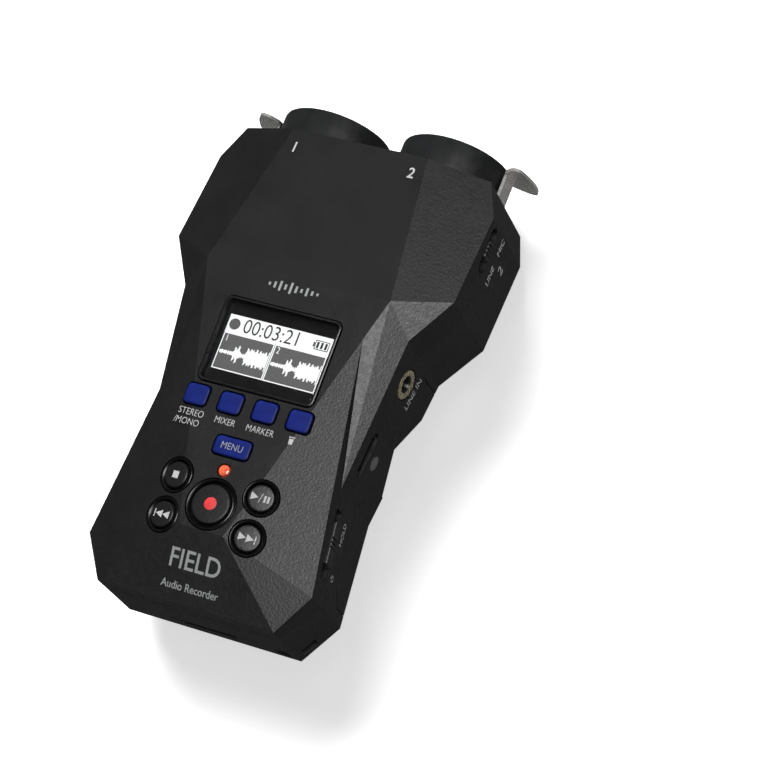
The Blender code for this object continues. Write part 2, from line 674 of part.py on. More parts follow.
# ---------------------------------------------------------------- back and inside

def build_back(home, cutters, looks, holes):
    for number, (x, y) in enumerate(SCREW_PLACES, start=1):
        frame = frame_from((x, y, 0.0), (0, 0, -1), (1, 0, 0))
        holes.append(opening(f"screw_{number}", disc_bmesh(SCREW_RADIUS + 0.4, -3.0, 3.0, sides=16), frame,
                             cutters))
        screw = add_object(f"screw_{number}", disc_bmesh(SCREW_RADIUS, -5.0, -0.5, sides=16),
                           home, looks["steel"], frame)
        for turn in (0.0, 90.0):
            cross = opening(f"cross_{number}_{int(turn)}", box_bmesh((2.4, 0.5, 1.2), low_z=-1.2),
                            frame @ Matrix.Rotation(radians(turn), 4, "Z"), cutters)
            combine(screw, cross, "DIFFERENCE")
    frame = frame_from((0.0, TRIPOD_Y, 0.0), (0, 0, -1), (1, 0, 0))
    holes.append(opening("tripod", disc_bmesh(TRIPOD_RADIUS + GAP, -6.0, 3.0), frame, cutters))
    turned("tripod_insert", [(TRIPOD_BORE, -0.7), (TRIPOD_BORE + 0.5, -0.2), (TRIPOD_RADIUS, -0.2),
                             (TRIPOD_RADIUS, -6.5), (TRIPOD_BORE, -6.5)],
           home, looks["steel"], frame, closed=True, steps=24)
    first_slot_y = SPEAKER_Y - SPEAKER_PITCH * (SPEAKER_SLOTS - 1) / 2
    for row in range(SPEAKER_SLOTS):
        slot_frame = frame_from((0.0, first_slot_y + SPEAKER_PITCH * row, 0.0), (0, 0, -1),
                                (1, 0, 0))
        holes.append(opening(f"speaker_slot_{row}",
                             rounded_bmesh(14.0, 1.3, -3.0, 3.0, 0.6, segments=2), slot_frame,
                             cutters))
    add_object("speaker", disc_bmesh(SPEAKER_RADIUS, -5.6, -2.3, sides=24), home, looks["jack_core"],
               frame_from((0.0, SPEAKER_Y, 0.0), (0, 0, -1), (1, 0, 0)))


def build_battery_bay(home, cutters, looks):
    middle = (BAY_LOW + BAY_HIGH) / 2
    length = BAY_HIGH - BAY_LOW
    tray = add_object("battery_tray", box_bmesh((TRAY_WIDTH, length, TRAY_HEIGHT),
                                                centre=(0.0, middle, 11.2)), home, looks["inner"])
    bay = opening("bay", box_bmesh((BAY_WIDTH, length - 3.0, TRAY_HEIGHT),
                                   centre=(0.0, middle, 9.6)), None, cutters)
    combine(tray, bay, "DIFFERENCE")
    for side, word in ((-1, "left"), (1, "right")):
        frame = frame_from((side * CELL_X, middle, CELL_Z), (0, side, 0), (1, 0, 0))
        top = CELL_HALF_LENGTH - 1.4
        turned(f"battery_{word}", [(0.0, CELL_HALF_LENGTH), (2.7, CELL_HALF_LENGTH), (2.7, top),
                                   (CELL_RADIUS - 0.25, top), (CELL_RADIUS, top - 0.4),
                                   (CELL_RADIUS, -CELL_HALF_LENGTH), (0.0, -CELL_HALF_LENGTH)],
               home, looks["battery"], frame, steps=20)
    for word, y in (("upper", BAY_HIGH - 2.1), ("lower", BAY_LOW + 2.1)):
        add_object(f"battery_contact_{word}", box_bmesh(CONTACT_SIZE, centre=(0.0, y, CELL_Z)),
                   home, looks["steel"])


def build_boards(home, looks):
    add_object("main_board", box_bmesh(MAIN_BOARD, centre=MAIN_BOARD_CENTRE), home,
               looks["board"])
    add_object("jack_board", box_bmesh(JACK_BOARD, centre=JACK_BOARD_CENTRE), home,
               looks["board"])
    add_object("keypad", rounded_bmesh(*KEYPAD_SIZE, -KEYPAD_DEPTH - 1.0, -KEYPAD_DEPTH, 3.0),
               home, looks["rubber"], display_frame(0.0, KEYPAD_Y))


# ---------------------------------------------------------------- assembly

def make_looks():
    return {
        "housing": material("housing", (0.035, 0.035, 0.038), 0.55),
        "gloss_black": material("gloss_black", (0.01, 0.01, 0.01), 0.2),
        "key": material("key", (0.02, 0.02, 0.022), 0.5),
        "blue": material("blue", (0.012, 0.02, 0.24), 0.45),
        "lens": material("lens", (0.01, 0.01, 0.012), 0.08),
        "lcd": material("lcd", (0.5, 0.52, 0.55), 0.4),
        "lamp": material("lamp", (0.6, 0.06, 0.02), 0.25),
        "jack_core": material("jack_core", (0.02, 0.02, 0.02), 0.45),
        "nickel": material("nickel", (0.72, 0.71, 0.69), 0.25, 1.0),
        "steel": material("steel", (0.5, 0.5, 0.5), 0.35, 1.0),
        "gold": material("gold", (0.83, 0.6, 0.25), 0.25, 1.0),
        "battery": material("battery", (0.15, 0.15, 0.17), 0.4),
        "inner": material("inner", (0.03, 0.03, 0.03), 0.6),
        "board": material("board", (0.02, 0.12, 0.05), 0.5),
        "rubber": material("rubber", (0.05, 0.05, 0.05), 0.8),
    }


def build():
    clear_scene()
    home = new_collection("field_recorder")
    cutters = new_collection("cutters")
    looks = make_looks()
    outer, hollow = build_housing_solids(cutters)

    through_front = []
    through_sides = []
    through_back = []
    build_screen(home, cutters, looks, through_front)
    build_function_keys(home, cutters, looks, through_front)
    build_transport(home, cutters, looks, through_front)
    build_capsule_connector(home, cutters, looks, through_front)
    build_jacks(home, cutters, looks, through_sides)
    build_release_tabs(home, cutters, looks, through_sides)
    build_side_controls(home, cutters, looks, through_sides)
    build_ports(home, cutters, looks, through_sides)
    build_card(home, cutters, looks, through_back)
    build_strap_eye(cutters, through_back)
    build_back(home, cutters, looks, through_back)
    build_battery_bay(home, cutters, looks)
    build_boards(home, looks)

    front_half = seam_region("front_half", FAR, GAP / 2, cutters)
    rear_half = seam_region("rear_half", -FAR, -GAP / 2, cutters)
    front = housing_piece("front_shell", outer, hollow, front_half, home, looks["housing"])
    rear = housing_piece("rear_shell", outer, hollow, rear_half, home, looks["housing"])
    combine(rear, cover_region("cover_gap", GAP, cutters), "DIFFERENCE")
    housing_piece("battery_cover", outer, hollow, cover_region("cover_space", 0.0, cutters), home,
                  looks["housing"])
    for hole in through_front + through_sides:
        combine(front, hole, "DIFFERENCE")
    for hole in through_sides + through_back:
        combine(rear, hole, "DIFFERENCE")


build()
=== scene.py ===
"""Looks of the portable field recorder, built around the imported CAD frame.

Everything is in the frame's own metres; MM turns the millimetres below into metres.  Each visible
key, ring and jack is made again as a finer mesh in the place that its CAD node holds, and every
surface gets a procedural material.
"""
import json
from math import cos, exp, pi, radians, sin

import bmesh
import bpy
from mathutils import Matrix, Vector


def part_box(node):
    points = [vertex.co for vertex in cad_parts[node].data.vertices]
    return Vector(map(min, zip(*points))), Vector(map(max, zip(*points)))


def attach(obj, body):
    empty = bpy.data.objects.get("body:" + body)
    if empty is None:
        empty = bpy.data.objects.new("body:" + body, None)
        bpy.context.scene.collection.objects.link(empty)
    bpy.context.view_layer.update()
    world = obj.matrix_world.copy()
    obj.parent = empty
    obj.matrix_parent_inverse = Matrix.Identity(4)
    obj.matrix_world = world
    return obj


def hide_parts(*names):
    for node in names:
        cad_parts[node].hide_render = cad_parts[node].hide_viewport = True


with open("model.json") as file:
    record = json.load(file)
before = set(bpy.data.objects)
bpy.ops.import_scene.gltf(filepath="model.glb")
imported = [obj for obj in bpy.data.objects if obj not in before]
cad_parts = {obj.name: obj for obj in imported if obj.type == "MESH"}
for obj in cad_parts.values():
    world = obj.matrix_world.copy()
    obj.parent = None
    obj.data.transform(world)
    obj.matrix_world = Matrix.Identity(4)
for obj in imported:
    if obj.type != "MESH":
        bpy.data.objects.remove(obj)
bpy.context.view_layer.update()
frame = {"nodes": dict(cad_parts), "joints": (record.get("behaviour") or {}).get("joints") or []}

MM = 0.001
PRINT = 0.02             # thickness of printed lettering
LIFT = 0.012             # how far print stands off the surface it is on
ROUND = 96               # sides of a turned piece
CAPITAL = 0.7            # height of a capital as a share of the font size
NOISE_LOW = 0.3          # the part of the noise that a material's two ends are spread over
NOISE_HIGH = 0.7

JOINTS = {joint["name"]: joint for joint in frame["joints"]}
HOUSING = "housing"


# ---------------------------------------------------------------- camera

CAMERA_AT = Vector((0.3006, -0.2038, 0.6454))
CAMERA_VIEW = Vector((-0.390, 0.290, -0.874)).normalized()
CAMERA_RIGHT = Vector((0.892, 0.356, -0.279)).normalized()
CAMERA_LENS = 132.6


def rotation_from(right, up):
    """Rotation matrix whose X is right and whose Z is square to right and up."""
    z = right.cross(up).normalized()
    y = z.cross(right).normalized()
    return Matrix((right, y, z)).transposed()


def make_camera():
    data = bpy.data.cameras.new("camera")
    data.lens = CAMERA_LENS
    data.sensor_width = 36.0
    data.clip_start = 0.01
    camera = bpy.data.objects.new("camera", data)
    bpy.context.scene.collection.objects.link(camera)
    up = CAMERA_RIGHT.cross(CAMERA_VIEW)
    camera.matrix_world = (Matrix.Translation(CAMERA_AT)
                           @ rotation_from(CAMERA_RIGHT, up).to_4x4())
    bpy.context.scene.camera = camera


# ---------------------------------------------------------------- materials

def new_material(name):
    """A material, its node tree and its Principled shader."""
    made = bpy.data.materials.new(name)
    made.use_nodes = True
    return made, made.node_tree, made.node_tree.nodes["Principled BSDF"]


def add_node(tree, kind, **settings):
    node = tree.nodes.new(kind)
    for key, value in settings.items():
        setattr(node, key, value)
    return node


def set_inputs(node, **values):
    for key, value in values.items():
        node.inputs[key.replace("_", " ")].default_value = value


def noise(tree, scale, detail=4.0, roughness=0.55, stretch=None):
    """Noise over the object's own coordinates; scale is in waves per metre."""
    coordinates = add_node(tree, "ShaderNodeTexCoord")
    source = coordinates.outputs["Object"]
    if stretch:
        mapping = add_node(tree, "ShaderNodeMapping")
        mapping.inputs["Scale"].default_value = stretch
        tree.links.new(source, mapping.inputs["Vector"])
        source = mapping.outputs["Vector"]
    texture = add_node(tree, "ShaderNodeTexNoise")
    set_inputs(texture, Scale=scale, Detail=detail, Roughness=roughness)
    tree.links.new(source, texture.inputs["Vector"])
    return texture.outputs["Fac"]


def mix_colours(tree, factor, low, high):
    ramp = add_node(tree, "ShaderNodeValToRGB")
    first, second = ramp.color_ramp.elements
    first.position, first.color = NOISE_LOW, (*low, 1.0)
    second.position, second.color = NOISE_HIGH, (*high, 1.0)
    tree.links.new(factor, ramp.inputs["Fac"])
    return ramp.outputs["Color"]


def spread(tree, factor, low, high):
    mapped = add_node(tree, "ShaderNodeMapRange")
    set_inputs(mapped, From_Min=NOISE_LOW, From_Max=NOISE_HIGH, To_Min=low, To_Max=high)
    tree.links.new(factor, mapped.inputs["Value"])
    return mapped.outputs["Result"]


def add_bump(tree, shader, height, distance, strength=1.0):
    bump = add_node(tree, "ShaderNodeBump")
    set_inputs(bump, Strength=strength, Distance=distance)
    tree.links.new(height, bump.inputs["Height"])
    tree.links.new(bump.outputs["Normal"], shader.inputs["Normal"])


def leather_height(tree, cell):
    """Moulded leather grain: rounded cells of about the given size, bent by noise."""
    coordinates = add_node(tree, "ShaderNodeTexCoord")
    bend = add_node(tree, "ShaderNodeTexNoise")
    set_inputs(bend, Scale=0.8 / cell, Detail=2.0)
    tree.links.new(coordinates.outputs["Object"], bend.inputs["Vector"])
    shift = add_node(tree, "ShaderNodeVectorMath", operation="MULTIPLY_ADD")
    shift.inputs[1].default_value = (cell, cell, cell)
    tree.links.new(bend.outputs["Color"], shift.inputs[0])
    tree.links.new(coordinates.outputs["Object"], shift.inputs[2])
    cells = add_node(tree, "ShaderNodeTexVoronoi", feature="SMOOTH_F1")
    set_inputs(cells, Scale=1.0 / cell, Smoothness=0.6, Randomness=1.0)
    tree.links.new(shift.outputs["Vector"], cells.inputs["Vector"])
    fine = add_node(tree, "ShaderNodeTexNoise")
    set_inputs(fine, Scale=2.6 / cell, Detail=3.0)
    tree.links.new(coordinates.outputs["Object"], fine.inputs["Vector"])
    total = add_node(tree, "ShaderNodeMath", operation="MULTIPLY_ADD")
    total.inputs[1].default_value = 0.45
    tree.links.new(fine.outputs["Fac"], total.inputs[0])
    tree.links.new(cells.outputs["Distance"], total.inputs[2])
    return total.outputs["Value"]


def grained_plastic(name, dark, light, rough, cell, depth):
    """Black moulded plastic with a leather grain, slightly uneven in colour and gloss."""
    made, tree, shader = new_material(name)
    blotches = noise(tree, 90.0, 5.0)
    tree.links.new(mix_colours(tree, blotches, dark, light), shader.inputs["Base Color"])
    tree.links.new(spread(tree, noise(tree, 700.0), *rough), shader.inputs["Roughness"])
    add_bump(tree, shader, leather_height(tree, cell), depth)
    return made


def smooth_plastic(name, dark, light, rough, specular=0.5, speck=2200.0, depth=0.000004):
    """Moulded plastic with a faint orange peel."""
    made, tree, shader = new_material(name)
    clouds = noise(tree, 240.0, 3.0)
    tree.links.new(mix_colours(tree, clouds, dark, light), shader.inputs["Base Color"])
    tree.links.new(spread(tree, noise(tree, 500.0), *rough), shader.inputs["Roughness"])
    add_bump(tree, shader, noise(tree, speck, 2.0), depth)
    set_inputs(shader, Specular_IOR_Level=specular)
    return made


def metal(name, dark, light, rough, stretch=(1.0, 1.0, 1.0), metallic=1.0):
    """Plated or brushed metal: fine streaks along the axis with the small stretch."""
    made, tree, shader = new_material(name)
    streaks = noise(tree, 900.0, 3.0, 0.5, stretch)
    tree.links.new(mix_colours(tree, streaks, dark, light), shader.inputs["Base Color"])
    tree.links.new(spread(tree, streaks, *rough), shader.inputs["Roughness"])
    add_bump(tree, shader, streaks, 0.000001, 0.4)
    set_inputs(shader, Metallic=metallic)
    return made


def printed(name, low, high, glow=0.0):
    """Screen-printed ink, a little patchy; glow adds emission, which is the backlight on the LCD
    and a painted glow on the red print.
    """
    made, tree, shader = new_material(name)
    patches = noise(tree, 2600.0, 3.0)
    colour = mix_colours(tree, patches, low, high)
    tree.links.new(colour, shader.inputs["Base Color"])
    tree.links.new(spread(tree, patches, 0.45, 0.6), shader.inputs["Roughness"])
    if glow:
        tree.links.new(colour, shader.inputs["Emission Color"])
        set_inputs(shader, Emission_Strength=glow)
    return made


def window_glass(name):
    """Clear window with a smoky tint, thin enough to see the panel through it."""
    made, tree, shader = new_material(name)
    haze = noise(tree, 60.0, 2.0)
    tree.links.new(mix_colours(tree, haze, (0.010, 0.010, 0.011), (0.016, 0.016, 0.018)),
                   shader.inputs["Base Color"])
    tree.links.new(spread(tree, haze, 0.04, 0.09), shader.inputs["Roughness"])
    set_inputs(shader, Alpha=0.16)
    return made


def make_looks():
    return {
        "front": grained_plastic("front_grain", (0.0065, 0.0065, 0.007), (0.010, 0.010, 0.0105),
                                 (0.42, 0.52), 0.00062, 0.00004),
        "rear": grained_plastic("rear_grain", (0.007, 0.0075, 0.008), (0.0105, 0.011, 0.0115),
                                (0.44, 0.56), 0.0005, 0.00002),
        "cover": grained_plastic("cover_grain", (0.007, 0.0075, 0.008), (0.0105, 0.011, 0.0115),
                                 (0.44, 0.56), 0.0005, 0.00002),
        "ring": smooth_plastic("ring_gloss", (0.0035, 0.0035, 0.0035), (0.006, 0.006, 0.006),
                               (0.24, 0.34), 0.3),
        "collar": smooth_plastic("collar_satin", (0.007, 0.0075, 0.008), (0.012, 0.0125, 0.013),
                                 (0.34, 0.46)),
        "bezel": smooth_plastic("bezel_black", (0.008, 0.008, 0.008), (0.013, 0.013, 0.013),
                                (0.26, 0.38)),
        "mask": smooth_plastic("mask_black", (0.004, 0.004, 0.004), (0.008, 0.008, 0.008),
                               (0.3, 0.4)),
        "knob": smooth_plastic("knob_satin", (0.012, 0.012, 0.012), (0.019, 0.019, 0.019),
                               (0.38, 0.5)),
        "key": grained_plastic("key_grain", (0.0065, 0.0065, 0.007), (0.010, 0.010, 0.0105),
                               (0.42, 0.52), 0.00062, 0.00004),
        "blue": smooth_plastic("blue_key", (0.003, 0.010, 0.12), (0.006, 0.017, 0.18),
                               (0.42, 0.54), 0.2),
        "lamp": lamp_look(),
        "nickel": metal("nickel_plate", (0.68, 0.67, 0.65), (0.76, 0.75, 0.73), (0.19, 0.25),
                        (1.0, 0.15, 1.0), 0.7),
        "steel": metal("zinc_steel", (0.33, 0.33, 0.34), (0.5, 0.5, 0.51), (0.28, 0.42)),
        "brass": metal("gold_plate", (0.46, 0.40, 0.27), (0.53, 0.46, 0.32), (0.22, 0.28),
                       metallic=0.7),
        "core": smooth_plastic("jack_plastic", (0.009, 0.009, 0.009), (0.015, 0.015, 0.015),
                               (0.4, 0.5)),
        "glass": window_glass("screen_window"),
        "ink": printed("ink_grey", (0.44, 0.44, 0.45), (0.58, 0.58, 0.59)),
        "ink_soft": printed("ink_dim", (0.28, 0.29, 0.29), (0.40, 0.41, 0.41)),
        "ink_dark": printed("ink_dark", (0.07, 0.07, 0.07), (0.11, 0.11, 0.11)),
        # the red print gets a painted glow: emission strength 0.12, though the ink gives off no
        # light of its own
        "ink_red": printed("ink_red", (0.60, 0.030, 0.035), (0.72, 0.05, 0.05), 0.12),
        "lcd_white": printed("lcd_white", (0.86, 0.87, 0.88), (0.93, 0.94, 0.95), 0.8),
        "lcd_grey": printed("lcd_grey", (0.11, 0.11, 0.11), (0.14, 0.14, 0.14), 0.5),
        "lcd_dark": printed("lcd_dark", (0.035, 0.035, 0.035), (0.05, 0.05, 0.05), 0.05),
        "lcd_dot": printed("lcd_dot", (0.12, 0.12, 0.12), (0.15, 0.15, 0.15), 0.3),
        "board": printed("solder_mask", (0.008, 0.06, 0.025), (0.012, 0.09, 0.035)),
        "sleeve": smooth_plastic("battery_sleeve", (0.03, 0.03, 0.035), (0.05, 0.05, 0.06),
                                 (0.3, 0.4)),
    }


def lamp_look():
    made, tree, shader = new_material("lamp_orange")
    glow = noise(tree, 900.0, 2.0)
    colour = mix_colours(tree, glow, (0.62, 0.07, 0.03), (0.85, 0.17, 0.07))
    tree.links.new(colour, shader.inputs["Base Color"])
    tree.links.new(colour, shader.inputs["Emission Color"])
    tree.links.new(spread(tree, glow, 0.12, 0.2), shader.inputs["Roughness"])
    set_inputs(shader, Emission_Strength=0.28, Coat_Weight=0.6, Coat_Roughness=0.05)
    return made


# ---------------------------------------------------------------- places taken from the frame

def frame_from(point, normal, right):
    """Matrix in metres: Z is the outward normal, X is as near to right as it can be."""
    z = Vector(normal).normalized()
    y = z.cross(Vector(right)).normalized()
    x = y.cross(z)
    matrix = Matrix((x, y, z)).transposed().to_4x4()
    matrix.translation = point
    return matrix


def top_frame(node, normal, right=(1, 0, 0)):
    """Frame at the middle of a node's outermost face along normal."""
    normal = Vector(normal).normalized()
    points = [vertex.co for vertex in frame["nodes"][node].data.vertices]
    reach = max(point.dot(normal) for point in points)
    face = [point for point in points if reach - point.dot(normal) < 0.02 * MM]
    low = Vector([min(point[i] for point in face) for i in range(3)])
    high = Vector([max(point[i] for point in face) for i in range(3)])
    return frame_from((low + high) / 2, normal, right)


def key_frame(node, joint):
    """Frame on top of a key: its normal is against the way it is pressed."""
    return top_frame(node, -Vector(JOINTS[joint]["axis"]))


DISPLAY_NORMAL = -Vector(JOINTS["menu_press"]["axis"])
SCREEN = top_frame("screen_lens", DISPLAY_NORMAL)


def on_display(x, y, lift=0.0):
    """Frame on the display panel at (x, y) millimetres from the origin."""
    corner = SCREEN.translation - DISPLAY_NORMAL * 0.1 * MM
    point = Vector((x * MM, y * MM, 0.0))
    point.z = corner.z - (DISPLAY_NORMAL.x * (point.x - corner.x)
                          + DISPLAY_NORMAL.y * (point.y - corner.y)) / DISPLAY_NORMAL.z
    return frame_from(point + DISPLAY_NORMAL * lift * MM, DISPLAY_NORMAL, (1, 0, 0))


# ---------------------------------------------------------------- pieces

def finish_piece(obj, body, look, replaces=()):
    obj.data.materials.clear()
    obj.data.materials.append(look)
    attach(obj, body)
    if replaces:
        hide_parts(*replaces)
    return obj


def mesh_piece(name, bm, place, smooth_angle=30.0):
    """A mesh object from millimetres in the frame place."""
    bmesh.ops.recalc_face_normals(bm, faces=bm.faces)
    bmesh.ops.scale(bm, vec=(MM, MM, MM), verts=bm.verts)
    mesh = bpy.data.meshes.new(name)
    bm.to_mesh(mesh)
    bm.free()
    mesh.shade_smooth()
    mesh.set_sharp_from_angle(angle=radians(smooth_angle))
    obj = bpy.data.objects.new(name, mesh)
    bpy.context.scene.collection.objects.link(obj)
    obj.matrix_world = place
    return obj


def turned_bmesh(profile, steps=ROUND, closed=True):
    """(radius, height) corners turned about Z; an open profile starts and ends on the axis."""
    bm = bmesh.new()
    corners = [bm.verts.new((radius, 0.0, height)) for radius, height in profile]
    edges = [bm.edges.new(pair) for pair in zip(corners, corners[1:])]
    if closed:
        edges.append(bm.edges.new((corners[-1], corners[0])))
    bmesh.ops.spin(bm, geom=corners + edges, axis=(0, 0, 1), cent=(0, 0, 0), steps=steps,
                   angle=2 * pi, use_duplicate=False)
    bmesh.ops.remove_doubles(bm, verts=bm.verts, dist=0.0005)
    return bm


def rounded_outline(width, length, corner, steps=8):
    points = []
    for quarter, (sx, sy) in enumerate(((1, 1), (-1, 1), (-1, -1), (1, -1))):
        cx, cy = sx * (width / 2 - corner), sy * (length / 2 - corner)
        for step in range(steps + 1):
            angle = (quarter + step / steps) * pi / 2
            points.append((cx + corner * cos(angle), cy + corner * sin(angle)))
    return points


def stacked_bmesh(layers):
    """A closed solid through flat outlines, given as (outline points, height), bottom to top."""
    bm = bmesh.new()
    loops = [[bm.verts.new((x, y, z)) for x, y in outline] for outline, z in layers]
    for low, high in zip(loops, loops[1:]):
        for index in range(len(low)):
            after = (index + 1) % len(low)
            bm.faces.new((low[index], low[after], high[after], high[index]))
    bm.faces.new(loops[-1])
    bm.faces.new(list(reversed(loops[0])))
    return bm


def pillow_bmesh(width, length, corner, low_z, high_z, edge, crown, rings=5):
    """A key cap: straight sides, a rounded edge, and a slightly crowned top."""
    layers = [(rounded_outline(width, length, corner), low_z)]
    for step in range(rings + 1):
        angle = step / rings * pi / 2
        inset = edge * (1 - cos(angle))
        outline = rounded_outline(width - 2 * inset, length - 2 * inset, corner - inset * 0.8)
        layers.append((outline, high_z - edge + edge * sin(angle)))
    for share in (0.8, 0.6, 0.4, 0.2):
        top = rounded_outline((width - 2 * edge) * share, (length - 2 * edge) * share,
                              (corner - edge * 0.8) * share)
        layers.append((top, high_z + crown * (1 - share * share)))
    return stacked_bmesh(layers)


def flat_bmesh(outlines, thickness=PRINT):
    """Thin plates, each from an outline of (x, y) points in order."""
    bm = bmesh.new()
    for outline in outlines:
        low = [bm.verts.new((x, y, 0.0)) for x, y in outline]
        high = [bm.verts.new((x, y, thickness)) for x, y in outline]
        bm.faces.new(high)
        bm.faces.new(list(reversed(low)))
        for index in range(len(low)):
            after = (index + 1) % len(low)
            bm.faces.new((low[index], low[after], high[after], high[index]))
    return bm


def bar(x, y, width, length):
    return [(x - width / 2, y - length / 2), (x + width / 2, y - length / 2),
            (x + width / 2, y + length / 2), (x - width / 2, y + length / 2)]


def round_outline(x, y, radius, steps=40):
    return [(x + radius * cos(2 * pi * step / steps), y + radius * sin(2 * pi * step / steps))
            for step in range(steps)]


def frame_bars(width, length, line, x=0.0, y=0.0):
    """The four sides of a thin rectangular outline."""
    return [bar(x, y + length / 2 - line / 2, width, line),
            bar(x, y - length / 2 + line / 2, width, line),
            bar(x - width / 2 + line / 2, y, line, length - 2 * line),
            bar(x + width / 2 - line / 2, y, line, length - 2 * line)]


def lettering(name, words, height, place, squeeze=1.0, bold=0.0):
    """Thin raised lettering, centred on place, with capitals of the given height."""
    curve = bpy.data.curves.new(name, "FONT")
    curve.body = words
    curve.size = height * MM / CAPITAL
    curve.align_x = "CENTER"
    curve.align_y = "CENTER"
    curve.extrude = PRINT * MM / 2
    curve.offset = bold * MM
    curve.space_line = 0.8
    curve.resolution_u = 4
    text = bpy.data.objects.new(name, curve)
    bpy.context.scene.collection.objects.link(text)
    bpy.context.view_layer.update()
    evaluated = text.evaluated_get(bpy.context.evaluated_depsgraph_get())
    mesh = bpy.data.meshes.new_from_object(evaluated)
    bpy.data.objects.remove(text)
    mesh.name = name
    mesh.transform(Matrix.Diagonal((squeeze, 1.0, 1.0, 1.0)))
    bm = bmesh.new()
    bm.from_mesh(mesh)
    bmesh.ops.remove_doubles(bm, verts=bm.verts, dist=0.000001)
    bm.to_mesh(mesh)
    bm.free()
    obj = bpy.data.objects.new(name, mesh)
    bpy.context.scene.collection.objects.link(obj)
    obj.matrix_world = place
    return obj


def shift(place, x=0.0, y=0.0, z=0.0):
    """place moved by millimetres along its own axes."""
    return place @ Matrix.Translation((x * MM, y * MM, z * MM))


# ---------------------------------------------------------------- housing

def dress_housing(looks):
    for node, look in (("front_shell", "front"), ("rear_shell", "rear"),
                       ("battery_cover", "cover")):
        dress_node(node, looks[look])


def dress_node(node, look, smooth_angle=None):
    obj = frame["nodes"][node]
    obj.data.materials.clear()
    obj.data.materials.append(look)
    if smooth_angle:
        obj.data.shade_smooth()
        obj.data.set_sharp_from_angle(angle=radians(smooth_angle))


def dress_small_nodes(looks):
    for node in ("screw_1", "screw_2", "screw_3", "screw_4", "tripod_insert",
                 "battery_contact_upper", "battery_contact_lower"):
        dress_node(node, looks["steel"])
    for node in ("capsule_connector", "speaker", "battery_tray", "keypad",
                 "memory_card"):
        dress_node(node, looks["core"])
    for node in ("gain_switch_left", "gain_switch_right", "power_switch", "volume_rocker"):
        dress_node(node, looks["knob"])
    for node in ("battery_left", "battery_right"):
        dress_node(node, looks["sleeve"])
    for node in ("main_board", "jack_board"):
        dress_node(node, looks["board"])
    dress_node("usb_port", looks["mask"])
    dress_node("screen_bezel", looks["bezel"])


# ---------------------------------------------------------------- screen

WINDOW = (30.9, 21.3, 1.3)    # width, length and corner radius of the display window
LCD_WIDTH, LCD_LENGTH = 29.2, 14.8
HEADER = 4.9             # height of the white band at the top of the picture
RULE = 0.3               # thickness of the drawn lines


def waveform(width, height, columns):
    """Columns of a recorded waveform: a murmur, one burst, and then a loud passage."""
    outlines = []
    for column in range(columns):
        t = (column + 0.5) / columns
        ripple = 0.5 + 0.5 * sin(column * 2.9) * cos(column * 1.7 + 1.0)
        murmur = 0.08 + 0.18 * ripple * abs(sin(column * 1.3))
        burst = 0.80 * exp(-((t - 0.36) / 0.06) ** 2) * (0.35 + 0.65 * ripple)
        loud = (0.40 + 0.28 * ripple) / (1.0 + exp(-(t - 0.54) * 90.0))
        up = murmur + burst + loud
        down = murmur + burst * (0.7 + 0.3 * ripple) + loud * 0.92
        x = (t - 0.5) * width
        low, high = -down * height / 2, up * height / 2
        outlines.append(bar(x, (low + high) / 2, width / columns * 1.02, high - low))
    return outlines


def build_screen(looks):
    glass = mesh_piece("screen_glass", pillow_bmesh(*WINDOW, -1.2, 0.0, 0.25, 0.0),
                       SCREEN)
    finish_piece(glass, HOUSING, looks["glass"], ["screen_lens"])

    panel = top_frame("lcd_panel", DISPLAY_NORMAL)
    mask_outer = rounded_outline(*WINDOW)
    width, length = LCD_WIDTH, LCD_LENGTH
    picture = shift(panel, z=0.02)
    backing = mesh_piece("screen_mask", stacked_bmesh([(mask_outer, -0.6), (mask_outer, 0.0)]),
                         panel)
    finish_piece(backing, HOUSING, looks["mask"], ["lcd_panel"])

    band = mesh_piece("lcd_header", flat_bmesh([bar(0, length / 2 - HEADER / 2, width, HEADER)]),
                      picture)
    finish_piece(band, HOUSING, looks["lcd_white"])
    half = width / 2
    body = length - HEADER
    centre_y = -HEADER / 2
    tiles = [bar(side * half / 2, centre_y, half - 0.1, body) for side in (-1, 1)]
    finish_piece(mesh_piece("lcd_tiles", flat_bmesh(tiles), picture), HOUSING,
                 looks["lcd_grey"])
    over = shift(picture, z=PRINT * 1.2)
    lines = [line for side in (-1, 1)
             for line in frame_bars(half - 0.15, body, RULE, side * half / 2, centre_y)]
    for side in (-1, 1):
        lines.extend([[(x + side * half / 2, y + centre_y - 0.2) for x, y in outline]
                      for outline in waveform(half - 1.0, body * 0.62, 60)])
    finish_piece(mesh_piece("lcd_traces", flat_bmesh(lines), over), HOUSING,
                 looks["lcd_white"])
    for side, digit in ((-1, "1"), (1, "2")):
        mark = lettering(f"lcd_channel_{digit}", digit, 1.7,
                         shift(over, side * half / 2 - half / 2 + 1.35, body / 2 + centre_y - 1.5),
                         0.75)
        finish_piece(mark, HOUSING, looks["lcd_white"])
    clock = lettering("lcd_clock", "00:03:21", 3.8, shift(over, -1.9, length / 2 - 2.5), 0.88,
                      -0.02)
    finish_piece(clock, HOUSING, looks["lcd_dark"])
    top = length / 2 - 2.45
    dot = mesh_piece("lcd_record_dot", flat_bmesh([round_outline(-half + 2.0, top, 1.5)]), over)
    finish_piece(dot, HOUSING, looks["lcd_dot"])
    cell_x = half - 2.5
    marks = frame_bars(3.9, 2.5, 0.2, cell_x, top)
    marks.append(bar(cell_x - 2.2, top, 0.4, 1.2))
    marks.extend([bar(cell_x + (step - 1) * 1.15, top, 0.6, 1.7) for step in range(3)])
    finish_piece(mesh_piece("lcd_marks", flat_bmesh(marks), over), HOUSING,
                 looks["lcd_dark"])


# ---------------------------------------------------------------- keys

FUNCTION_CAP = (6.3, 5.4)
MENU_CAP = (10.0, 4.9)
RECORD_SIZE = (6.6, 5.05)     # outside of the trim ring, and of the cap
TRANSPORT_SIZE = (4.55, 3.35)
CAP_PROUD = 0.35              # how far a cap stands above its panel


